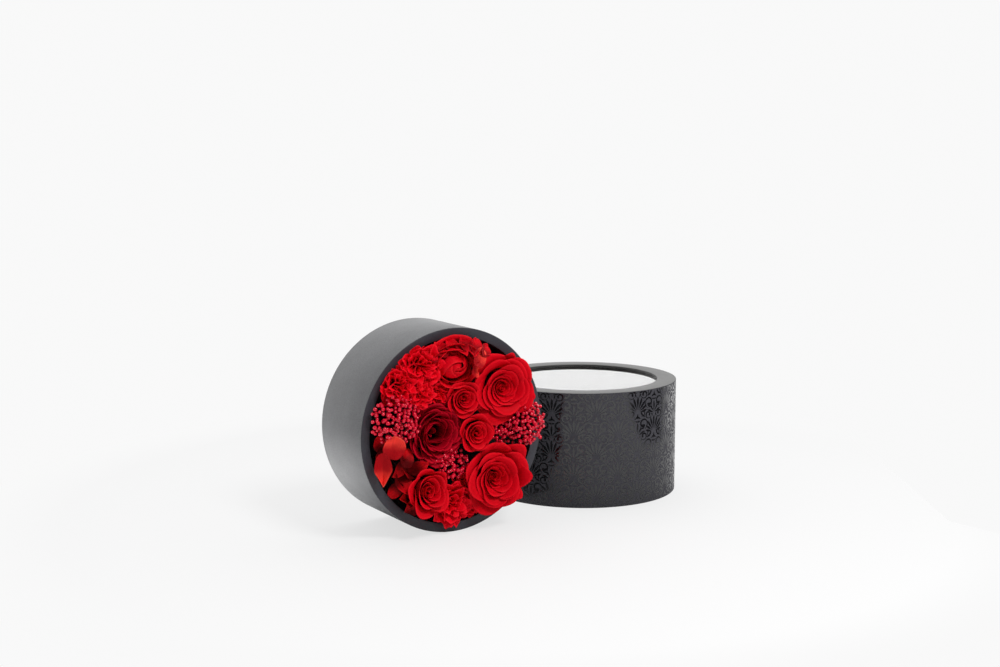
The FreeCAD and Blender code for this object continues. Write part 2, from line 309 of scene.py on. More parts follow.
glue = plain_material("Hot glue", (0.75, 0.7, 0.55), 0.35)
foam = plain_material("Dark foam", (0.010, 0.012, 0.010), 0.95)
wire = plain_material("Floral wire", (0.03, 0.06, 0.025), 0.6)
# Each petal colour set: foot is painted shade deep in the flower, middle the petal's own colour, lip a
# painted highlight
rose_red = petal_material("Rose petal", (0.030, 0.0, 0.001), (0.66, 0.0004, 0.008), (0.80, 0.004, 0.014))
soft_red = petal_material(
    "Soft rose petal", (0.26, 0.0, 0.003), (0.72, 0.001, 0.010), (0.84, 0.010, 0.018), veins=0.4
)
dark_red = petal_material("Dark rose petal", (0.014, 0.0, 0.001), (0.36, 0.001, 0.010), (0.56, 0.002, 0.016))
carnation_red = petal_material(
    "Carnation petal", (0.20, 0.0, 0.003), (0.84, 0.001, 0.012), (0.94, 0.006, 0.020)
)
deep_red = petal_material(
    "Deep sepal", (0.09, 0.0, 0.001), (0.64, 0.004, 0.009), (0.80, 0.020, 0.018), veins=0.4
)
sepal_red = petal_material(
    "Hydrangea sepal", (0.40, 0.004, 0.008), (0.95, 0.050, 0.036), (0.96, 0.12, 0.08), veins=0.5
)
berry_red = plain_material("Berry skin", (0.74, 0.002, 0.030), 0.16, Specular_IOR_Level=0.5)
# Stalks in near-black red: partly their own dark colour, partly painted shade for the gaps between the
# berries
stalk_and_gap_shade = plain_material("Berry stalk and painted gap shade", (0.05, 0.003, 0.005), 0.6)
print("materials:", len(bpy.data.materials))

# %% Finishes for the CAD pieces that stay
finishes = {
    board: ["lid_wall_board", "lid_top_ring_board", "base_wall_board", "base_bottom_board"],
    lining: ["lid_lining", "base_lining"],
    charcoal: ["base_bottom_paper"],
    tape: ["lid_window_tape"],
    film: ["lid_window"],
    glue: ["foam_glue_dabs"],
    foam: ["floral_foam"],
    wire: [name for name in nodes if name.endswith("_wire")],
}
for material, names in finishes.items():
    for name in names:
        nodes[name].data.materials.clear()
        nodes[name].data.materials.append(material)
print("CAD pieces dressed:", sum(len(names) for names in finishes.values()))

# %% [markdown]
# ## Papers of the box
# Each paper is a thin round skin, so it is a profile spun about the box's axis: a few points drawn in the XZ
# plane, then `mesh.spin` all the way round. The CAD papers have sharp edges; these turn over in a small
# round, which is what catches a line of light along a rim.

# %% Spin the papers
SPIN_STEPS = 160
WELD = 0.02  # points closer than this become one
BASE_RADIUS = 75.0  # over the cover paper
LINING_RADIUS = 68.1  # inside the base's lining
RIM_OUTER = BASE_RADIUS - PAPER - 0.01  # the rim paper ends just inside the wall paper
WINDOW_RADIUS = 62.5  # of the opening in the lid's top
TOP_OUTER = 77.54  # the lid's top paper ends just inside its wall paper
TURN_IN = 2.04  # how far the top paper reaches down the edge of the opening
VARNISH = 0.06  # the lid's wall paper is set back by this, to leave room for the varnish
SKIN = LID_RADIUS - VARNISH


def spun(name, profile):
    """A closed profile of (radius, height) points in mm, spun about Z."""
    mesh = bpy.data.meshes.new(name)
    points = [(r * MM, 0, z * MM) for r, z in profile]
    mesh.from_pydata(points, [(i, (i + 1) % len(points)) for i in range(len(points))], [])
    obj = bpy.data.objects.new(name, mesh)
    bpy.context.collection.objects.link(obj)
    alone(obj)
    bpy.ops.object.mode_set(mode="EDIT")
    bpy.ops.mesh.select_all(action="SELECT")
    bpy.ops.mesh.spin(steps=SPIN_STEPS, angle=2 * math.pi, center=(0, 0, 0), axis=(0, 0, 1))
    bpy.ops.mesh.select_all(action="SELECT")
    bpy.ops.mesh.remove_doubles(threshold=WELD * MM)
    bpy.ops.mesh.normals_make_consistent(inside=False)
    bpy.ops.object.mode_set(mode="OBJECT")
    smooth(obj)
    return obj


base_wrap = spun("base_wrap_paper", [
    (BASE_RADIUS - PAPER, 0.1), (BASE_RADIUS - 0.15, 0.02), (BASE_RADIUS - 0.05, 0.06), (BASE_RADIUS, 0.2),
    (BASE_RADIUS, RIM - 0.3), (BASE_RADIUS - 0.03, RIM - 0.14), (BASE_RADIUS - 0.11, RIM - 0.05),
    (BASE_RADIUS - 0.2, RIM - 0.04), (BASE_RADIUS - PAPER, RIM - 0.15),
])
settle(base_wrap, BED, charcoal, "base", "charcoal_paper", "base_wall_wrap")
base_rim = spun("base_rim", [
    (LINING_RADIUS, RIM - 0.24), (LINING_RADIUS + 0.05, RIM - 0.14), (LINING_RADIUS + 0.17, RIM - 0.04),
    (LINING_RADIUS + 0.35, RIM), (RIM_OUTER - 0.44, RIM), (RIM_OUTER - 0.19, RIM - 0.03),
    (RIM_OUTER - 0.06, RIM - 0.12), (RIM_OUTER, RIM - 0.24),
])
settle(base_rim, BED, rim_paper, "base", "rim_paper", "base_rim_paper")
lid_wrap = spun("lid_wrap_paper", [
    (SKIN - 0.19, 0.1), (SKIN - 0.1, 0.0), (SKIN, 0.12), (SKIN, LID_HEIGHT - 0.4),
    (SKIN - 0.04, LID_HEIGHT - 0.18), (SKIN - 0.12, LID_HEIGHT - 0.06), (SKIN - 0.19, LID_HEIGHT - 0.1),
])
settle(lid_wrap, LID, lid_paper, "lid", "lid_damask_paper", "lid_wall_wrap")
lid_top = spun("lid_top_skin", [
    (WINDOW_RADIUS, LID_HEIGHT - TURN_IN), (WINDOW_RADIUS, LID_HEIGHT - 0.45),
    (WINDOW_RADIUS + 0.08, LID_HEIGHT - 0.2), (WINDOW_RADIUS + 0.25, LID_HEIGHT - 0.05),
    (WINDOW_RADIUS + 0.5, LID_HEIGHT), (TOP_OUTER - 0.39, LID_HEIGHT), (TOP_OUTER - 0.14, LID_HEIGHT - 0.04),
    (TOP_OUTER - 0.01, LID_HEIGHT - 0.15), (TOP_OUTER, LID_HEIGHT - 0.24),
    (WINDOW_RADIUS + 0.25, LID_HEIGHT - 0.24), (WINDOW_RADIUS + 0.24, LID_HEIGHT - TURN_IN),
])
settle(lid_top, LID, top_paper, "lid", "lid_top_paper", "lid_top_paper")

# %% [markdown]
# ## Damask varnish on the lid
# The lid's pattern is a clear gloss printed on matt paper, so it shows only by how it shines. A texture could
# switch the roughness; a thin raised film is used instead, because its edges stay crisp from close by.
# A motif is a set of ribbons: a path with a width at each step. Teardrops make the fan and the leaves, and
# spirals make the scrolls. The flat motif is repeated, trimmed at the lid's edges, wrapped round the wall and
# given a thickness.

# %% Draw the motif
TEARDROP_STEPS = 6
SCROLL_STEPS = 14
BULB_START = 0.8  # share of a scroll where its round end begins
# Teardrops: x, y, angle in degrees, length, width and, where it isn't 0, the gap before it starts.
MIDDLE = [(0, -11, 0, 10.5, 1.9, 2.6), (0, 5.2, 0, 8.6, 1.7), (0, -11.5, 180, 4.2, 1.5)]
FAN = [
    (0, -11, 19, 10.2, 1.8, 2.6), (0, -11, 38, 9.4, 1.8, 2.6),
    (0, -11, 57, 8.2, 1.8, 2.6), (0, -11, 77, 6.6, 1.8, 2.6),
]
LEAVES = [
    (0, 4.8, 38, 6.2, 1.5, 0.8), (0, 4.4, 74, 4.6, 1.3, 0.8), (3.2, -12.2, 118, 5.2, 1.4),
    (9.4, -9.2, 105, 4.8, 1.4), (14.4, 0.6, 60, 3.6, 1.3), (14.6, -0.8, 105, 3.2, 1.2),
    (1.6, 1.2, 20, 3.4, 1.1),
]
# Scrolls: x, y, radius, start and turn in degrees, width.
SCROLLS = [
    (11.6, -3.4, 4.6, 200, 400, 1.5), (6.4, 3.4, 3.4, 250, -390, 1.3),
    (12.6, 5.0, 2.6, 160, 380, 1.1), (5.0, 10.4, 2.3, 230, 360, 1.0),
]


def teardrop(x, y, angle, length, width, gap=0.0):
    """A petal that starts gap away from (x, y) and points up at angle 0."""
    path = []
    angle = math.radians(angle)
    for step in range(TEARDROP_STEPS + 1):
        t = step / TEARDROP_STEPS
        swell = math.sin(math.pi * t**1.5) ** 0.8 if 0 < t < 1 else 0.0
        far = gap + length * t
        path.append((x + math.sin(angle) * far, y + math.cos(angle) * far, max(swell, 0.06) * width / 2))
    return path


def scroll(x, y, radius, start, turn, width):
    """A curl about (x, y) that tightens from its radius and swells to a round end."""
    path = []
    for step in range(SCROLL_STEPS + 1):
        t = step / SCROLL_STEPS
        angle = math.radians(start + turn * t)
        reach = radius * (1 - 0.72 * t**1.2)
        if t < BULB_START:
            swell = 0.2 + 0.8 * math.sin(math.pi * min(t, 0.75) / 1.5)
        else:
            swell = 1.0 + 0.5 * math.sin((t - BULB_START) * 15.7)
        path.append((x + math.sin(angle) * reach, y + math.cos(angle) * reach, swell * width / 2))
    return path


def mirrored(path):
    """The same path on the motif's other side."""
    return [(-x, y, w) for x, y, w in path]


def damask_motif():
    """All ribbons of one motif, in mm about its middle."""
    half = [teardrop(*values) for values in FAN]
    half += [scroll(*values) for values in SCROLLS]
    half += [teardrop(*values) for values in LEAVES]
    return [teardrop(*values) for values in MIDDLE] + half + [mirrored(path) for path in half]


def flat_ribbons(paths):
    """Vertices and faces of flat ribbons that follow the paths."""
    points, faces = [], []
    for path in paths:
        first = len(points)
        for step, (x, y, w) in enumerate(path):
            before, after = path[max(step - 1, 0)], path[min(step + 1, len(path) - 1)]
            heading = Vector((after[0] - before[0], after[1] - before[1])).normalized()
            points.append((x - heading.y * w, y + heading.x * w))
            points.append((x + heading.y * w, y - heading.x * w))
        for step in range(len(path) - 1):
            corner = first + 2 * step
            faces.append((corner, corner + 1, corner + 3, corner + 2))
    return points, faces


print("ribbons in the motif:", len(damask_motif()))

# %% Repeat it round the wall
REPEATS = 14
ROW_PITCH = 33.0
ROWS = range(-1, 4)  # enough to pass both edges, where the rest is trimmed off
TOP_ROW = LID_HEIGHT - 23.0
BARE_EDGE = 0.6  # paper without varnish along both edges
SINK = 0.02  # how far inside the paper's surface the film starts
FILM = SINK + VARNISH - 0.01  # its thickness, which ends just inside the CAD's wall
FIRST_MOTIF = math.radians(-6.5)  # from the front of the lid, towards the right
motif_points, motif_faces = flat_ribbons(damask_motif())
points, faces = [], []
repeat = 2 * math.pi / REPEATS
for column in range(2 * REPEATS):
    middle = FIRST_MOTIF + column * repeat / 2
    drop = ROW_PITCH / 2 if column % 2 else 0.0
    for row in ROWS:
        level = TOP_ROW + drop - row * ROW_PITCH
        first = len(points)
        points += [(middle * LID_RADIUS + x, 0, level + y) for x, y in motif_points]
        faces += [tuple(first + corner for corner in face) for face in motif_faces]
mesh = bpy.data.meshes.new("lid_damask")
mesh.from_pydata(points, [], faces)
trim = bmesh.new()
trim.from_mesh(mesh)
for level, way in ((BARE_EDGE, (0, 0, -1)), (LID_HEIGHT - BARE_EDGE, (0, 0, 1))):
    everything = trim.verts[:] + trim.edges[:] + trim.faces[:]
    bmesh.ops.bisect_plane(trim, geom=everything, plane_co=(0, 0, level), plane_no=way, clear_outer=True)
for vertex in trim.verts:
    angle = vertex.co.x / LID_RADIUS
    reach = (SKIN - SINK) * MM
    vertex.co = (math.sin(angle) * reach, -math.cos(angle) * reach, vertex.co.z * MM)
bmesh.ops.recalc_face_normals(trim, faces=trim.faces)
for face in trim.faces:
    outward = face.calc_center_median()
    outward.z = 0
    if face.normal.dot(outward) < 0:
        face.normal_flip()
trim.to_mesh(mesh)
trim.free()
damask = bpy.data.objects.new("lid_damask", mesh)
bpy.context.collection.objects.link(damask)
modified(damask, "SOLIDIFY", thickness=FILM * MM, offset=1.0)
settle(damask, LID, varnish, "lid", "lid_damask_paper")

# %% [markdown]
# ## A petal
# A petal starts as a plain grid with a UV map. Its middle line is drawn by an angle that changes along the
# way: it leaves the foot at one slope, stands up at the belly and turns over at the lip. Walking along that
# slope gives how far out and how high each row of the grid lies. The grid is then wrapped round the flower's
# axis.
# A rose is rings of such petals, tight in the middle and open outside.

# %% Petal tools
WALK_STEPS = 40
BELLY = 0.45  # share of a petal's length where it has reached the belly's slope
LIP = 0.68  # share where it starts to turn over
FULL_WAVE = 6.28  # range of a random phase
GOLDEN_TURN = 137.5  # degrees from one ring of petals to the next


def grid(columns, rows, shape):
    """A grid whose corners (u from -1 to 1, v from 0 to 1) are moved to shape(u, v), in mm."""
    bpy.ops.mesh.primitive_grid_add(x_subdivisions=columns, y_subdivisions=rows, size=2, location=(0, 0, 0))
    obj = bpy.context.object
    for vertex in obj.data.vertices:
        vertex.co = Vector(shape(vertex.co.x, (vertex.co.y + 1) / 2)) * MM
    return obj


def eased(t):
    """A smooth step between 0 and 1."""
    t = min(1.0, max(0.0, t))
    return t * t * (3 - 2 * t)


def about(rng, share):
    """A random factor close to 1."""
    return 1 + rng.uniform(-share, share)


def walk(foot_slope, belly_slope, lip_slope):
    """Points along a petal's middle line, as shares of its reach and of its height."""
    out, height, line = 0.0, 0.0, [(0.0, 0.0)]
    for step in range(WALK_STEPS):
        t = (step + 0.5) / WALK_STEPS
        slope = foot_slope + (belly_slope - foot_slope) * eased(t / BELLY)
        slope += (lip_slope - belly_slope) * eased((t - LIP) / (1 - LIP))
        out += math.cos(math.radians(slope))
        height += math.sin(math.radians(slope))
        line.append((out, height))
    reach = max(abs(o) for o, _ in line)
    top = max(h for _, h in line)
    return [(o / reach, h / top) for o, h in line]


def along(line, t):
    """The point at share t of a walk."""
    spot = min(max(t, 0.0), 1.0) * (len(line) - 1)
    index = min(int(spot), len(line) - 2)
    rest = spot - index
    return tuple(a + (b - a) * rest for a, b in zip(line[index], line[index + 1]))


def rose_petal(rng, turn, half, foot, reach, bottom, top, slopes, curve, swirl, roll, point, wave, sharp):
    """One petal of a rose, sizes in mm and angles in degrees; a low sharp gives a pointed, creased petal."""
    line = walk(*slopes)
    phase = rng.uniform(0, FULL_WAVE)
    drift = rng.uniform(0, FULL_WAVE)
    tilt = rng.uniform(-1.4, 1.4)
    turn, half = math.radians(turn), math.radians(half)

    def shape(u, v):
        side = abs(u)
        out, height = along(line, v * (1 - curve * side**sharp))
        fold = roll * side ** (sharp - 0.4) * eased((v - 0.45) / 0.55)
        spread = foot + (reach - foot) * out + swirl * u * eased(v / 0.3) + 0.3 * fold
        spread += point * reach * (1 - side) ** 1.5 * v**5 + wave * math.sin(2.3 * u + phase) * v * v
        rise = bottom + (top - bottom) * height - fold
        rise += wave * (math.sin(3.1 * u + drift) + tilt * u) * v * v
        spread += 0.4 * wave * math.sin(8 * u + drift) * v**4
        rise += 0.4 * wave * math.sin(9 * u + phase) * v**4
        angle = turn + half * u * (0.55 + 0.45 * eased(v / 0.4))
        return spread * math.cos(angle), spread * math.sin(angle), rise

    return grid(columns=12, rows=9, shape=shape)


def thick_petals(name, petals, thickness):
    """Joins petals to one flower, with a thickness in mm and a smooth surface."""
    flower = joined(name, petals)
    modified(flower, "SOLIDIFY", thickness=thickness * MM, offset=0.0)
    modified(flower, "SUBSURF", levels=1, render_levels=1)
    alone(flower)
    bpy.ops.object.shade_smooth()
    return flower


# %% [markdown]
# ## Roses
# Each row of a table below is a ring: petals, foot, reach, top, the three slopes, half width, how round the
# lip is, swirl, and how far the sides roll back. Reach and top are shares of the head's radius and length;
# foot, swirl and roll are shares of its radius. A few odd petals, folded to a point, lie over the rings.

# %% Rings of the roses
CUP_FOOT = 0.18  # where the petals leave the cup, as a share of the head's length
ROSE_PETAL = 0.28  # thickness
OPEN_ROSE = [
    (2, 0.02, 0.07, 0.80, (84, 92, 96), 170, 0.06, 0.030, 0.00),
    (3, 0.04, 0.14, 0.82, (82, 92, 90), 120, 0.10, 0.040, 0.00),
    (4, 0.07, 0.22, 0.85, (78, 91, 80), 92, 0.12, 0.045, 0.01),
    (4, 0.11, 0.32, 0.89, (72, 91, 66), 86, 0.14, 0.050, 0.02),
    (5, 0.16, 0.43, 0.93, (66, 90, 48), 76, 0.16, 0.050, 0.03),
    (5, 0.21, 0.55, 0.97, (60, 89, 26), 74, 0.18, 0.050, 0.05),
    (5, 0.26, 0.69, 1.00, (52, 87, 6), 70, 0.22, 0.045, 0.08),
    (5, 0.31, 0.84, 0.98, (45, 84, -10), 66, 0.26, 0.035, 0.11),
    (5, 0.36, 1.00, 0.91, (38, 80, -24), 62, 0.30, 0.020, 0.13),
]
MINI_ROSE = [
    (2, 0.03, 0.13, 0.88, (84, 92, 97), 165, 0.08, 0.05, 0.00),
    (3, 0.08, 0.29, 0.93, (78, 92, 84), 115, 0.12, 0.06, 0.01),
    (4, 0.16, 0.50, 0.98, (68, 90, 62), 90, 0.14, 0.07, 0.03),
    (4, 0.26, 0.76, 1.00, (56, 88, 34), 82, 0.20, 0.06, 0.08),
    (5, 0.36, 1.00, 0.92, (44, 84, 6), 66, 0.24, 0.03, 0.10),
]
BALL_ROSE = [
    (3, 0.04, 0.16, 1.00, (62, 96, 155), 160, 0.10, 0.030, 0.00),
    (3, 0.08, 0.32, 0.99, (52, 95, 150), 130, 0.12, 0.050, 0.00),
    (4, 0.14, 0.50, 0.95, (42, 93, 140), 100, 0.18, 0.050, 0.01),
    (5, 0.26, 0.62, 0.92, (36, 88, 100), 80, 0.20, 0.050, 0.03),
    (6, 0.34, 0.82, 0.86, (30, 72, 40), 66, 0.22, 0.040, 0.07),
    (7, 0.40, 1.02, 0.74, (26, 56, 0), 56, 0.20, 0.000, 0.08),
]
FULL_ROSE = [
    (3, 0.04, 0.17, 0.68, (78, 84, 50), 70, 0.22, 0.03, 0.04),
    (6, 0.22, 0.37, 0.86, (80, 90, 96), 64, 0.20, 0.05, 0.02),
    (8, 0.24, 0.50, 0.95, (72, 90, 84), 54, 0.20, 0.05, 0.03),
    (9, 0.28, 0.63, 1.00, (64, 89, 66), 48, 0.20, 0.04, 0.04),
    (10, 0.33, 0.77, 0.99, (56, 87, 50), 44, 0.22, 0.04, 0.05),
    (10, 0.38, 0.91, 0.94, (48, 83, 30), 42, 0.22, 0.03, 0.06),
    (10, 0.42, 1.03, 0.86, (36, 76, 8), 42, 0.24, 0.00, 0.06),
]


def rose(name, rings, radius, length, seed, point, wave, folded):
    """A rose head with the foot of its cup at the origin."""
    rng = random.Random(seed)
    petals = []
    turn = rng.uniform(0, 360)
    for count, foot, reach, top, slopes, half, curve, swirl, roll in rings:
        for _ in range(count):
            turn += 360 / count * about(rng, 0.12)
            size = about(rng, 0.08)
            petals.append(rose_petal(
                rng, turn, half=half * about(rng, 0.1), foot=foot * radius, reach=reach * radius * size,
                bottom=CUP_FOOT * length, top=top * length * about(rng, 0.04), slopes=slopes, curve=curve,
                swirl=swirl * radius, roll=roll * radius, point=point * rng.uniform(0, 1) * reach**2,
                wave=wave * radius * reach, sharp=2.4,
            ))
        turn += GOLDEN_TURN
    for turn, half, reach, top, tip in folded:
        petals.append(rose_petal(
            rng, turn, half=half, foot=0.36 * radius, reach=reach * radius, bottom=CUP_FOOT * length,
            top=top * length, slopes=(38, 82, 16), curve=0.5, swirl=0.0, roll=0.16 * radius, point=tip,
            wave=0.03 * radius, sharp=1.3,
        ))
    return thick_petals(name, petals, ROSE_PETAL)


print("petals of an open rose:", sum(ring[0] for ring in OPEN_ROSE))

# %% [markdown]
# ## Planting
# A head is made upright at the origin, then squeezed to an oval, leaned and stood in the bed. What would go
# through the wall is pressed in, as packed blooms are. Above the rim a bloom may lean out a little.

# %% Into the bed
BED_RADIUS = 67.8  # room inside the lining
OVERHANG = 5.0  # how far a bloom may lean out over the rim
LEAN_START = 0.5  # height above the rim where that begins
LEAN_RUN = 4  # and the height that it takes


def packed(obj):
    """Presses a bloom in against the wall, and lets it lean out a little above the rim."""
    for vertex in obj.data.vertices:
        above = vertex.co.z / MM - RIM - LEAN_START
        room = (BED_RADIUS + OVERHANG * eased(above / LEAN_RUN)) * MM
        reach = math.hypot(vertex.co.x, vertex.co.y)
        if reach > room:
            vertex.co.x *= room / reach
            vertex.co.y *= room / reach


def plant(obj, x, y, foot, lean=0.0, bearing=0.0, oval=1.0):
    """Stands a head in the bed, leaning by some degrees towards a bearing."""
    way = math.radians(bearing)
    axis = Vector((-math.sin(way), math.cos(way), 0))
    place = Matrix.Translation(Vector((x, y, foot)) * MM) @ Matrix.Rotation(math.radians(lean), 4, axis)
    obj.data.transform(place @ Matrix.Diagonal((1, oval, 1, 1)))
    packed(obj)


print("room for the blooms, mm:", BED_RADIUS, "and above the rim:", BED_RADIUS + OVERHANG)

# %% Plant the roses
# rings, x, y, radius, length, rise above the rim, seed, point, lean, bearing, oval, wave, petal
ROSES = {
    "rose_upper_right": (OPEN_ROSE, 40.5, 30.0, 25.0, 40, 17, 3, 0.20, 9, 185, 1.0, 0.045, rose_red),
    "rose_lower_right": (OPEN_ROSE, 33.0, -37.0, 23.5, 40, 18, 11, 0.18, 9, 175, 1.04, 0.055, rose_red),
    "rose_lower_left": (MINI_ROSE, -27.0, -41.0, 14.6, 32, 16, 5, 0.28, 4, 90, 1.15, 0.055, rose_red),
    "rose_top": (BALL_ROSE, -3.0, 49.5, 23.5, 34, 15, 8, 0.10, 3, 230, 0.84, 0.050, soft_red),
    "mini_rose_upper": (MINI_ROSE, 4.6, 23.4, 14.6, 24, 12, 13, 0.10, 3, 150, 0.92, 0.045, rose_red),
    "mini_rose_middle": (MINI_ROSE, 13.6, -1.8, 13.2, 24, 15, 21, 0.10, 4, 170, 1.05, 0.045, rose_red),
    "garden_rose_dark": (FULL_ROSE, -19.5, 1.0, 23.5, 34, 11, 2, 0.05, 3, 0, 0.95, 0.055, dark_red),
}
# turn, half width, reach, top and point of the folded petals
FOLDED = {
    "rose_lower_right": [
        (0, 56, 1.10, 0.99, 0.14), (-36, 46, 1.04, 0.90, 0.12),
        (46, 52, 1.26, 0.96, 0.10), (80, 50, 1.10, 0.97, 0.06),
    ],
    "rose_upper_right": [(-20, 44, 1.00, 0.92, 0.06), (75, 40, 1.04, 0.90, 0.08)],
    "rose_lower_left": [(40, 44, 1.06, 1.00, 0.12), (200, 50, 1.04, 0.90, 0.04)],
}
for name, (rings, x, y, radius, length, rise, seed, point, lean, bearing, oval, wave, petal) in ROSES.items():
    head = rose(name + "_head", rings, radius, length, seed, point, wave, FOLDED.get(name, ()))
    plant(head, x, y, RIM + rise - length, lean, bearing, oval)
    settle(head, BED, petal, "base", "dark_rose_petal" if petal is dark_red else "rose_petal", name)

# %% [markdown]
# ## Carnations
# A carnation has dozens of fan-shaped petals with a toothed, crumpled edge. The same walk draws the middle
# line; waves that grow towards the edge crumple it, and a ripple in the length gives the teeth.

# %% Carnation heads
CALYX = 0.6  # radius that the petals start from
CARNATION_PETAL = 0.35  # thickness
# petals, reach, top, the three slopes, half width
CARNATION_RINGS = [
    (4, 0.26, 1.00, (84, 80, 40), 70),
    (6, 0.48, 1.00, (74, 74, 24), 58),
    (8, 0.74, 0.95, (62, 64, 6), 50),
    (9, 1.00, 0.86, (48, 52, -10), 46),
]


def carnation_petal(rng, turn, half, reach, bottom, top, slopes, crumple):
    """One fan-shaped petal with a crumpled edge."""
    line = walk(*slopes)
    phases = [rng.uniform(0, FULL_WAVE) for _ in range(4)]
    turn, half = math.radians(turn), math.radians(half)

    def shape(u, v):
        teeth = 0.05 * math.sin(17 * u + phases[3]) + 0.03 * math.sin(29 * u)
        length = 1 - 0.12 * abs(u) ** 3 + teeth * v**3 - 0.05
        out, height = along(line, v * min(length, 1.0))
        grow = crumple * v**2.2
        spread = CALYX + (reach - CALYX) * out + grow * math.sin(4.4 * u + phases[0])
        spread += 0.4 * grow * math.sin(9 * u + phases[1])
        rise = bottom + (top - bottom) * height + 0.9 * grow * math.sin(5 * u + phases[2])
        angle = turn + half * u * (0.35 + 0.65 * v)
        return spread * math.cos(angle), spread * math.sin(angle), rise

    return grid(columns=13, rows=6, shape=shape)


def carnation(name, radius, length, seed):
    """A carnation head with the foot of its calyx at the origin."""
    rng = random.Random(seed)
    petals = []
    turn = 0.0
    for count, reach, top, slopes, half in CARNATION_RINGS:
        for _ in range(count):
            turn += 360 / count * about(rng, 0.2)
            petals.append(carnation_petal(
                rng, turn, half=half * rng.uniform(0.85, 1.2), reach=reach * radius * rng.uniform(0.92, 1.06),
                bottom=0.3 * length, top=top * length * rng.uniform(0.95, 1.02), slopes=slopes,
                crumple=0.11 * radius * rng.uniform(0.8, 1.4),
            ))
        turn += GOLDEN_TURN
    return thick_petals(name, petals, CARNATION_PETAL)


# tufts: x, y, radius, length, rise above the rim, seed, lean, bearing, oval
CARNATIONS = {
    "carnation_upper_left": [
        (-43.5, 35.0, 17.0, 32, 12, 4, 12, 140, 0.95), (-29.0, 47.0, 17.0, 34, 13, 11, 8, 118, 0.95),
        (-31.0, 32.0, 13.5, 28, 13, 5, 4, 215, 0.9), (-17.0, 31.0, 12.5, 26, 9, 7, 6, 320, 0.9),
    ],
    "carnation_bottom": [
        (-5.5, -51.0, 18.5, 30, 11, 9, 4, 270, 0.98), (4.5, -37.5, 8.5, 24, 7, 6, 4, 90, 1.0),
        (10.5, -54.0, 11.0, 26, 7, 3, 5, 285, 0.95),
    ],
}
for name, tufts in CARNATIONS.items():
    heads = []
    for number, (x, y, radius, length, rise, seed, lean, bearing, oval) in enumerate(tufts):
        heads.append(carnation(f"{name}_tuft_{number}", radius, length, seed))
        plant(heads[-1], x, y, RIM + rise - length, lean, bearing, oval)
    head = joined(name + "_head", heads)
    settle(head, BED, carnation_red, "base", "carnation_petal", name)

# %% [markdown]
# ## Berry sprays
# One small round berry is made with an ico sphere, then copied over a loose dome. Each copy has its own mesh,
# its own size and a thin stalk that leads down to the spray's stem.

# %% Sprays
GOLDEN_ANGLE = 2.39996  # radians from one berry to the next
SCATTER = 1.8  # how far a berry lies off its place
BERRY_RADII = (1.15, 1.55)
BERRY_DROP = 5.0  # how far a berry may hang below the dome
BERRY_STALK = 0.45  # radius
DOME_DEPTH = 0.66  # how strongly the dome falls off, as a share of the smaller radius
STEM_TOP = 0.35  # where the stalks meet, as a share of the spray's length
bpy.ops.mesh.primitive_cone_add(vertices=5, radius1=MM, radius2=0.7 * MM, depth=MM, location=(0, 0, 0))
stalk_pattern = bpy.context.object
# The stalks' near-black colour also serves as painted shade between the berries
stalk_pattern.data.materials.append(stalk_and_gap_shade)


def stalk(root, tip, thick):
    """A thin straight copy of the pattern between two places, in mm."""
    way = Vector(tip) - Vector(root)
    one = stalk_pattern.copy()
    one.data = stalk_pattern.data.copy()
    bpy.context.collection.objects.link(one)
    turn = way.to_track_quat("Z", "Y").to_matrix().to_4x4()
    middle = Matrix.Translation((Vector(root) + way / 2) * MM)
    one.data.transform(middle @ turn @ Matrix.Diagonal((thick, thick, way.length, 1)))
    return one


def berry_spray(name, spread, length, count, seed):
    """A loose dome of berries on stalks; spread is its (x, y) radii in mm."""
    rng = random.Random(seed)
    bpy.ops.mesh.primitive_ico_sphere_add(subdivisions=2, radius=MM, location=(0, 0, 0))
    berry = bpy.context.object
    berry.data.materials.append(berry_red)
    pieces = []
    for number in range(count):
        share = math.sqrt((number + 0.5) / count)
        angle = GOLDEN_ANGLE * number
        x = spread[0] * share * math.cos(angle) + rng.uniform(-SCATTER, SCATTER)
        y = spread[1] * share * math.sin(angle) + rng.uniform(-SCATTER, SCATTER)
        dome = math.sqrt(max(0.0, 1 - 0.85 * share * share))
        z = length - DOME_DEPTH * min(spread) * (1 - dome) - rng.uniform(0, BERRY_DROP)
        size = rng.uniform(*BERRY_RADII)
        one = berry.copy()
        one.data = berry.data.copy()
        one.data.transform(Matrix.Translation(Vector((x, y, z)) * MM) @ Matrix.Scale(size, 4))
        bpy.context.collection.objects.link(one)
        pieces += [one, stalk((0.3 * x, 0.3 * y, STEM_TOP * length), (x, y, z), BERRY_STALK)]
    bpy.data.objects.remove(berry)
    spray = joined(name, pieces)
    smooth(spray, angle=60)
    return spray


# x, y, radii, length, rise above the rim, berries, seed
SPRAYS = {
    "berries_left": (-51.0, 14.0, (18.5, 18), 34, 16, 175, 1),
    "berries_right": (53.5, 2.0, (15.5, 16.5), 34, 20, 140, 2),
    "berries_right_inner": (36.5, -1.5, (11.5, 11.5), 24, 13, 70, 3),
    "berries_bottom": (-6.5, -23.5, (16.5, 11.5), 26, 11, 105, 4),
}
for name, (x, y, spread, length, rise, count, seed) in SPRAYS.items():
    spray = berry_spray(name + "_spray", spread, length, count, seed)
    plant(spray, x, y, RIM + rise - length)
    settle(spray, BED, None, "base", "berry_skin", name)

# %% [markdown]
# ## Hydrangea sepals
# Broad single sepals lie over the left rim and fill gaps between the big blooms. A square grid is pressed to
# a disc, drawn to a soft point, cupped and rippled.

# %% Sepals
SEPAL = 0.25  # thickness
SEPAL_STALK = 0.6  # radius
STALK_DEPTH = 12  # how far below the rim a stalk starts
STALK_LEAN = 0.92  # where it starts, as a share of the way out to the sepal


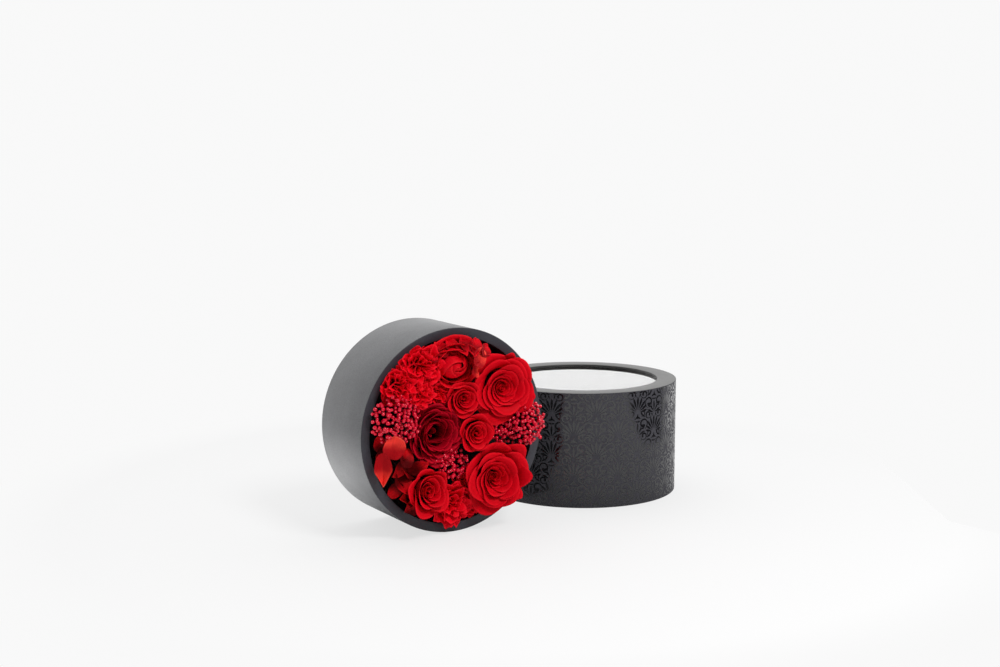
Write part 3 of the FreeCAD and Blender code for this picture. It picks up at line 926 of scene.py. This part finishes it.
def sepal(x, y, z, size, lean, bearing, spin, long, seed):
    """One sepal with its middle at (x, y, z) of the bed, in mm."""
    rng = random.Random(seed)
    phase = rng.uniform(0, FULL_WAVE)

    def shape(u, v):
        w = 2 * v - 1
        aside = u * math.sqrt(1 - w * w / 2)
        forward = w * math.sqrt(1 - u * u / 2)
        far = math.hypot(aside, forward)
        tip = max(0.0, forward)
        slim = ((1.02 - tip) / (1.02 + tip)) ** ((long - 1) * 0.7)
        around = math.atan2(forward, aside)
        ripple = (0.10 * math.sin(3 * around + phase) + 0.05 * math.sin(7 * aside + phase)) * far**2
        bowl = 0.16 * far * far + (0.32 * long - 0.16) * abs(aside) - 0.30 * tip**2 * (long - 0.9)
        return aside * slim * size, forward * long * size, (bowl + ripple) * size

    one = grid(columns=10, rows=10, shape=shape)
    way = math.radians(bearing)
    axis = Vector((-math.sin(way), math.cos(way), 0))
    turn = Matrix.Rotation(math.radians(lean), 4, axis) @ Matrix.Rotation(math.radians(spin), 4, "Z")
    one.data.transform(Matrix.Translation(Vector((x, y, z)) * MM) @ turn)
    return one


# x, y, z, size, lean, bearing, spin, length as a share of the width
ROUND_SEPALS = [(-54.6, -4.5, 74.0, 8.6, 14, 215, 350, 1.0), (-61.6, -20.5, 71.0, 6.6, 22, 190, 182, 2.0)]
LEFT_SEPALS = [
    (-44.0, -14.0, 71.5, 6.4, 32, 60, 330, 1.3), (-33.5, -21.0, 70.5, 6.4, 24, 250, 290, 1.4),
    (-48.5, -20.5, 70.0, 6.6, 26, 300, 150, 1.3), (-40.5, -24.5, 67.5, 6.0, 30, 30, 60, 1.3),
    (-61.0, -3.0, 67.0, 5.4, 24, 180, 20, 1.2), (-59.5, -12.0, 68.0, 5.6, 28, 200, 160, 1.2),
]
LOWER_SEPALS = [
    (-45.5, -33.0, 69.0, 7.4, 28, 60, 200, 1.2), (-50.0, -37.0, 66.0, 5.8, 24, 230, 150, 1.3),
    (-41.0, -45.0, 66.5, 6.6, 38, 30, 80, 1.3), (-36.5, -52.0, 66.0, 6.0, 28, 250, 20, 1.3),
]
TOP_SEPALS = [(13.5, 54.0, 75.5, 7.4, 30, 20, 300, 1.3), (11.0, 46.0, 76.0, 6.2, 34, 340, 250, 1.3)]
TOP_PETALS = [
    (-6.0, 63.0, 71.0, 5.6, 35, 95, 10, 1.3), (4.0, 64.0, 72.0, 5.4, 40, 85, 350, 1.4),
    (12.5, 62.0, 72.5, 5.6, 30, 60, 320, 1.3), (-14.5, 61.0, 70.5, 5.2, 30, 110, 30, 1.4),
    (21.5, 58.0, 71.0, 5.0, 34, 40, 300, 1.4), (0.5, 60.5, 75.0, 5.0, 50, 95, 190, 1.4),
    (8.5, 58.5, 76.0, 4.8, 55, 80, 160, 1.3), (-21.5, 58.0, 70.0, 5.6, 28, 115, 40, 1.3),
]
for name, sepals, material, slot, replaced in (
    ("round_sepals", ROUND_SEPALS, sepal_red, "hydrangea_sepal", []),
    ("hydrangea_left_sepals", LEFT_SEPALS, deep_red, "hydrangea_sepal", ["hydrangea_left"]),
    ("hydrangea_lower_sepals", LOWER_SEPALS, deep_red, "hydrangea_sepal", ["hydrangea_lower_left"]),
    ("top_sepals", TOP_SEPALS, sepal_red, "hydrangea_sepal", []),
    ("top_petals", TOP_PETALS, soft_red, "rose_petal", []),
):
    blades = [sepal(*values, seed=number) for number, values in enumerate(sepals)]
    truss = thick_petals(name + "_blades", blades, SEPAL)
    truss.data.materials.append(material)
    stalks = []
    for x, y, z, *_ in sepals:
        root = (STALK_LEAN * x, STALK_LEAN * y, RIM - STALK_DEPTH)
        stalks.append(stalk(root, (x, y, z), SEPAL_STALK))
    truss = joined(name, [truss] + stalks)
    packed(truss)
    settle(truss, BED, None, "base", slot, *replaced)
bpy.data.objects.remove(stalk_pattern)

# %% [markdown]
# ## Studio
# A pale floor that runs out of sight, a white backdrop and soft light from above. The backdrop is bright
# behind and beside the box and dim on the camera's side: that is what draws the dark varnish on the front of
# the lid and the bright streak on its right edge. The camera sees the world as plain white.
# Light that bounces takes the floor left of the box for a brighter white, which lights the low left of the
# base's wall.

# %% Floor and world
PAPER_WHITE = (0.945, 0.945, 0.945, 1)
POOL = (0.2, 0.42)  # metres from the middle, between which the lit floor fades to white
LEAST_WHITE = 0.72  # share of white that the camera sees in the middle
LEFT_FLOOR = (-0.08, -0.18)  # x where the brighter white begins, seen by bounced light
LEFT_END = (-0.40, -0.22)  # and where its extra strength fades
LEFT_GLOW = 1.2
outline = [
    (-1.6, 0.7), (-1.6, -0.3), (-0.55, -0.3), (-0.55, -0.8),
    (0.62, -0.8), (0.62, -0.45), (0.33, -0.06), (0.33, 0.7),
]
mesh = bpy.data.meshes.new("studio_floor")
mesh.from_pydata([(x, y, 0) for x, y in outline], [], [range(len(outline))])
floor = bpy.data.objects.new("studio_floor", mesh)
bpy.context.collection.objects.link(floor)
material, tree, shader = new_material("Studio floor")
shader.inputs["Base Color"].default_value = (0.80, 0.80, 0.80, 1)
shader.inputs["Roughness"].default_value = 0.9
shader.inputs["Specular IOR Level"].default_value = 0.1
spot = node(tree, "ShaderNodeTexCoord").outputs["Object"]
distance = tree.nodes.new("ShaderNodeVectorMath")
distance.operation = "LENGTH"
tree.links.new(spot, distance.inputs[0])
far = arithmetic(tree, "MAXIMUM", ramp(tree, distance.outputs["Value"], *POOL), LEAST_WHITE)
seen = node(tree, "ShaderNodeLightPath").outputs["Is Camera Ray"]
across = node(tree, "ShaderNodeSeparateXYZ", Vector=spot).outputs["X"]
beside = ramp(tree, across, *LEFT_FLOOR)
bounced = arithmetic(tree, "MAXIMUM", arithmetic(tree, "SUBTRACT", beside, seen), 0.0)
close_by = arithmetic(tree, "MULTIPLY", bounced, ramp(tree, across, *LEFT_END))
glow = arithmetic(tree, "ADD", arithmetic(tree, "MULTIPLY", close_by, LEFT_GLOW), 1.0)
paper_white = node(tree, "ShaderNodeEmission", Color=PAPER_WHITE, Strength=glow)
white = arithmetic(tree, "MAXIMUM", arithmetic(tree, "MULTIPLY", far, seen), bounced)
mixed = node(tree, "ShaderNodeMixShader", Fac=white)
tree.links.new(shader.outputs[0], mixed.inputs[1])
tree.links.new(paper_white.outputs[0], mixed.inputs[2])
tree.links.new(mixed.outputs[0], tree.nodes["Material Output"].inputs["Surface"])
floor.data.materials.append(material)

world = bpy.data.worlds.new("Studio")
bpy.context.scene.world = world
world.use_nodes = True
tree = world.node_tree
background = tree.nodes["Background"]
way = node(tree, "ShaderNodeSeparateXYZ", Vector=node(tree, "ShaderNodeTexCoord").outputs["Generated"])
behind = ramp(tree, way.outputs["Y"], -0.75, 0.15)
above = ramp(tree, way.outputs["Z"], -0.12, 0.02)
far_wall = ramp(tree, way.outputs["Y"], 0.25, 0.55)
light = arithmetic(tree, "MULTIPLY", behind, arithmetic(tree, "MAXIMUM", above, far_wall))
bright = blend(tree, ramp(tree, way.outputs["Y"], 0.1, 0.6), (0.9, 0.9, 0.9, 1), (1.45, 1.45, 1.45, 1))
studio = blend(tree, light, (0.07, 0.07, 0.075, 1), bright)
seen = node(tree, "ShaderNodeLightPath").outputs["Is Camera Ray"]
tree.links.new(blend(tree, seen, studio, PAPER_WHITE), background.inputs["Color"])
background.inputs["Strength"].default_value = 1.0
print("floor and world ready")


# %% Lamps and camera
def area_lamp(name, place, target, size, power):
    """A square soft lamp that faces a point."""
    data = bpy.data.lights.new(name, "AREA")
    data.size = size
    data.energy = power
    lamp = bpy.data.objects.new(name, data)
    bpy.context.collection.objects.link(lamp)
    lamp.location = place
    lamp.rotation_euler = (Vector(target) - Vector(place)).to_track_quat("-Z", "Y").to_euler()
    print(name, "lamp,", power, "W")


area_lamp("key", place=(0.5, -0.62, 0.95), target=(-0.03, 0, 0.07), size=0.32, power=7.5)
area_lamp("top", place=(-0.35, 0.2, 1.2), target=(0, 0, 0.05), size=0.8, power=0.8)

CAMERA_TILT = 8.02  # degrees below level
camera_data = bpy.data.cameras.new("camera")
camera_data.lens = 54
camera_data.sensor_width = 36
camera = bpy.data.objects.new("camera", camera_data)
bpy.context.collection.objects.link(camera)
camera.location = (-0.0063, -1.1532, 0.2959)
camera.rotation_euler = (math.radians(90 - CAMERA_TILT), 0, 0)
bpy.context.scene.camera = camera
bpy.context.scene.view_settings.view_transform = "Standard"
